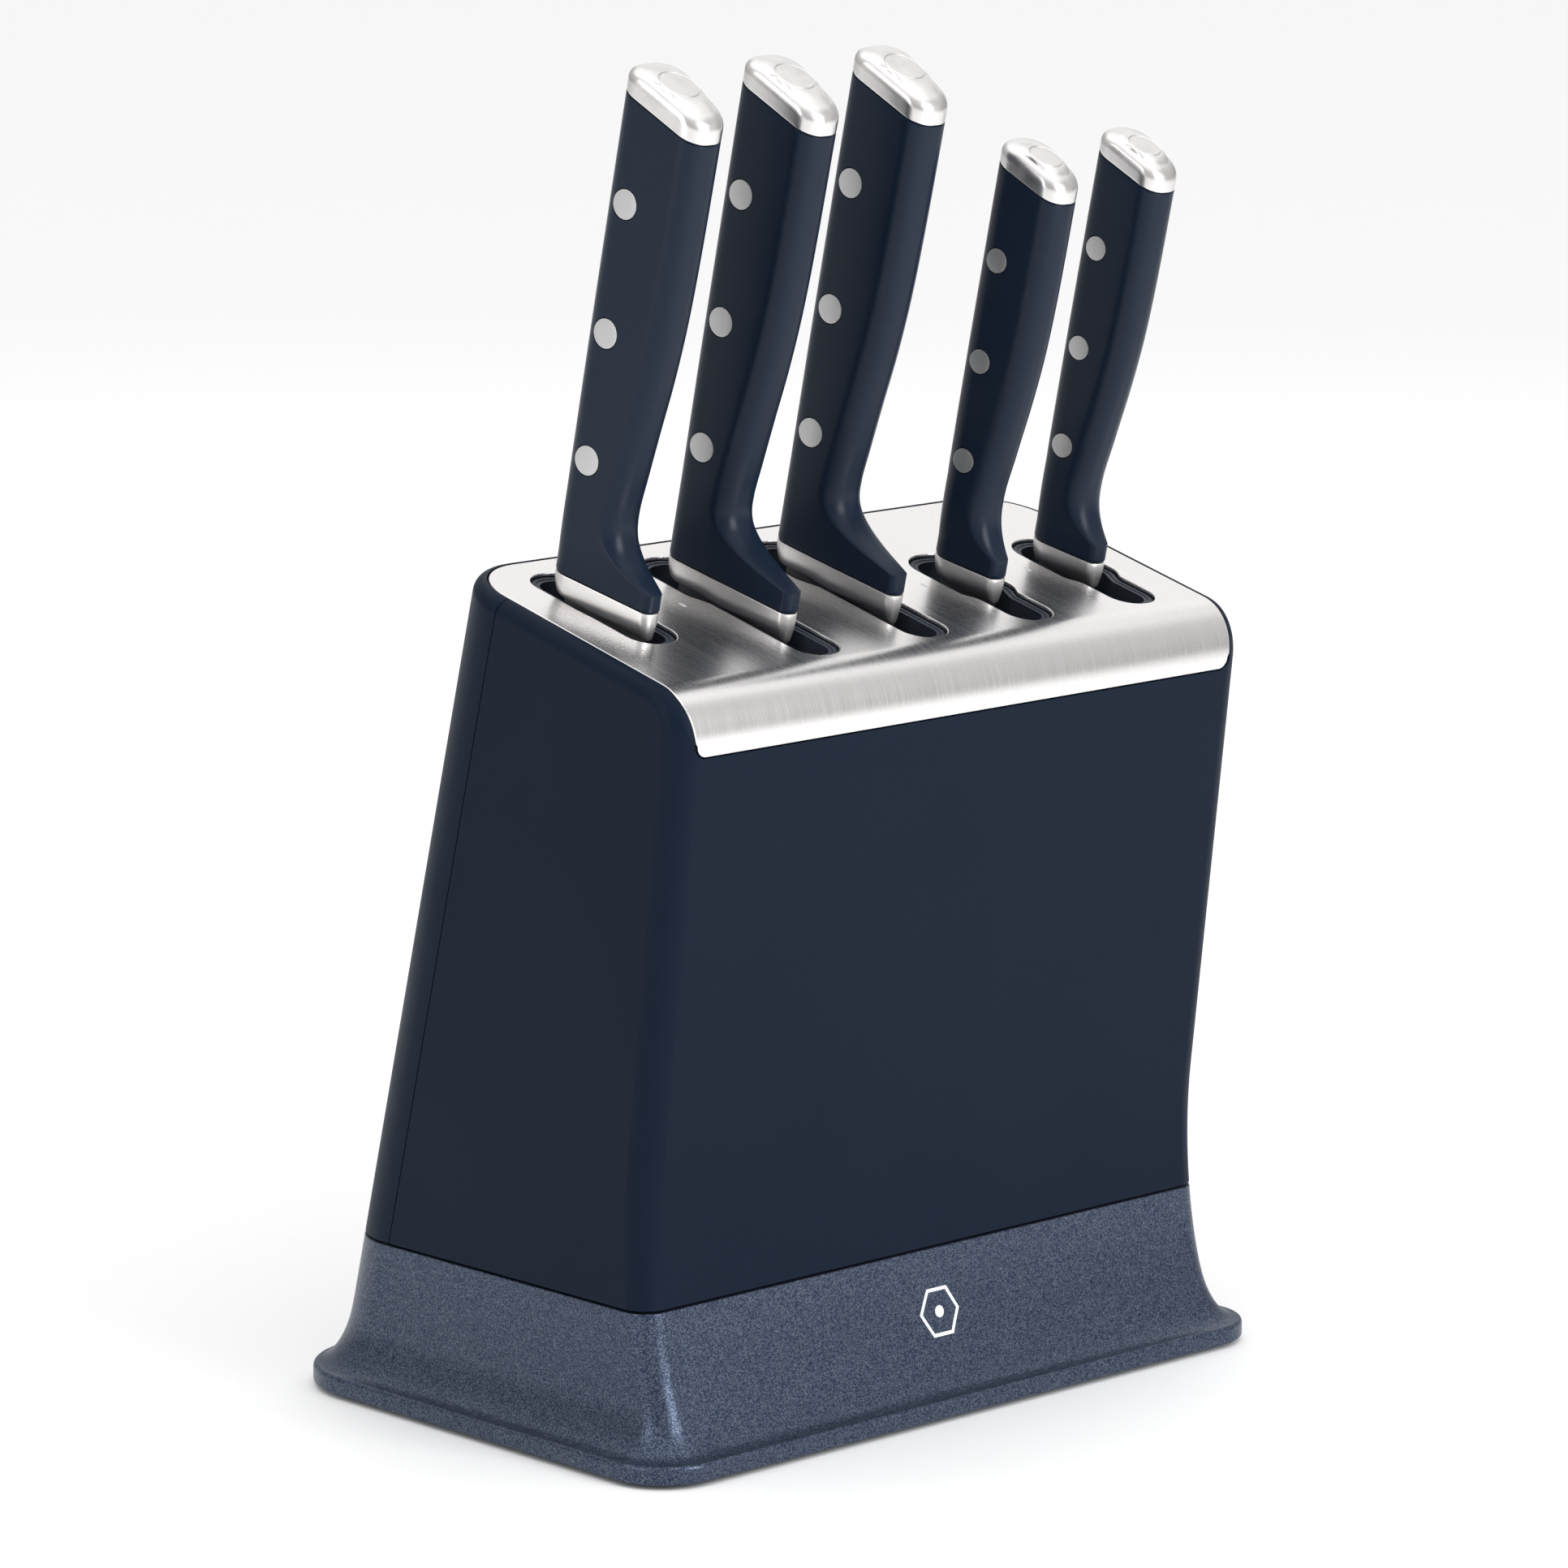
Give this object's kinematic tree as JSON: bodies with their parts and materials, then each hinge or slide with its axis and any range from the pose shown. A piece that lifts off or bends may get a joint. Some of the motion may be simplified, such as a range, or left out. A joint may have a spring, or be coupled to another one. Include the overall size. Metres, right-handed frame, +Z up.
{
  "type": "knife block with knives",
  "caption": "Upright knife block on a flared base, with a sloping steel top plate and lined slots; riveted knives with steel end caps slide out along the lean.",
  "frame": {"origin": "on the floor, under the centre of the base flange", "axes": "+Z up, +X along the long front face, -Y out of the front face, which the slots lean towards"},
  "size_m": [0.2186, 0.1494, 0.3482],
  "materials": {
    "shell_plastic": "finely textured matt navy moulding",
    "base_paint": "satin navy paint with fine metallic flake",
    "brushed_steel": "satin, brushed from back to front",
    "blade_steel": "satin ground",
    "cap_steel": "finely polished",
    "handle_plastic": "satin navy moulding",
    "liner_plastic": "charcoal, spark-eroded texture",
    "inner_plastic": "plain moulded",
    "foot_rubber": "matt",
    "screw_steel": "zinc plated"
  },
  "bodies": {
    "block": {"base_skirt": "base_paint", "bottom_cover": "inner_plastic", "front_shell": "shell_plastic", "rear_shell": "shell_plastic", "deck": "inner_plastic", "top_plate": "brushed_steel", "blade_rack": "inner_plastic", "carver_liner": "liner_plastic", "chef_liner": "liner_plastic", "santoku_liner": "liner_plastic", "utility_liner": "liner_plastic", "paring_liner": "liner_plastic", "foot_1": "foot_rubber", "foot_2": "foot_rubber", "foot_3": "foot_rubber", "foot_4": "foot_rubber", "screw_1": "screw_steel", "screw_2": "screw_steel", "screw_3": "screw_steel", "screw_4": "screw_steel"},
    "carver_knife": {"carver_blade": "blade_steel", "carver_grip": "handle_plastic", "carver_cap": "cap_steel", "carver_rivet_1": "blade_steel", "carver_rivet_2": "blade_steel", "carver_rivet_3": "blade_steel"},
    "chef_knife": {"chef_blade": "blade_steel", "chef_grip": "handle_plastic", "chef_cap": "cap_steel", "chef_rivet_1": "blade_steel", "chef_rivet_2": "blade_steel", "chef_rivet_3": "blade_steel"},
    "santoku_knife": {"santoku_blade": "blade_steel", "santoku_grip": "handle_plastic", "santoku_cap": "cap_steel", "santoku_rivet_1": "blade_steel", "santoku_rivet_2": "blade_steel", "santoku_rivet_3": "blade_steel"},
    "utility_knife": {"utility_blade": "blade_steel", "utility_grip": "handle_plastic", "utility_cap": "cap_steel", "utility_rivet_1": "blade_steel", "utility_rivet_2": "blade_steel", "utility_rivet_3": "blade_steel"},
    "paring_knife": {"paring_blade": "blade_steel", "paring_grip": "handle_plastic", "paring_cap": "cap_steel", "paring_rivet_1": "blade_steel", "paring_rivet_2": "blade_steel", "paring_rivet_3": "blade_steel"}
  },
  "joints": [
    {"name": "carver_pull", "type": "slide", "parent": "block", "child": "carver_knife", "axis": [0, -0.2224, 0.975], "range_m": [0, 0.22]},
    {"name": "chef_pull", "type": "slide", "parent": "block", "child": "chef_knife", "axis": [0, -0.2224, 0.975], "range_m": [0, 0.22]},
    {"name": "santoku_pull", "type": "slide", "parent": "block", "child": "santoku_knife", "axis": [0, -0.2224, 0.975], "range_m": [0, 0.2]},
    {"name": "utility_pull", "type": "slide", "parent": "block", "child": "utility_knife", "axis": [0, -0.2224, 0.975], "range_m": [0, 0.15]},
    {"name": "paring_pull", "type": "slide", "parent": "block", "child": "paring_knife", "axis": [0, -0.2224, 0.975], "range_m": [0, 0.11]}
  ]
}
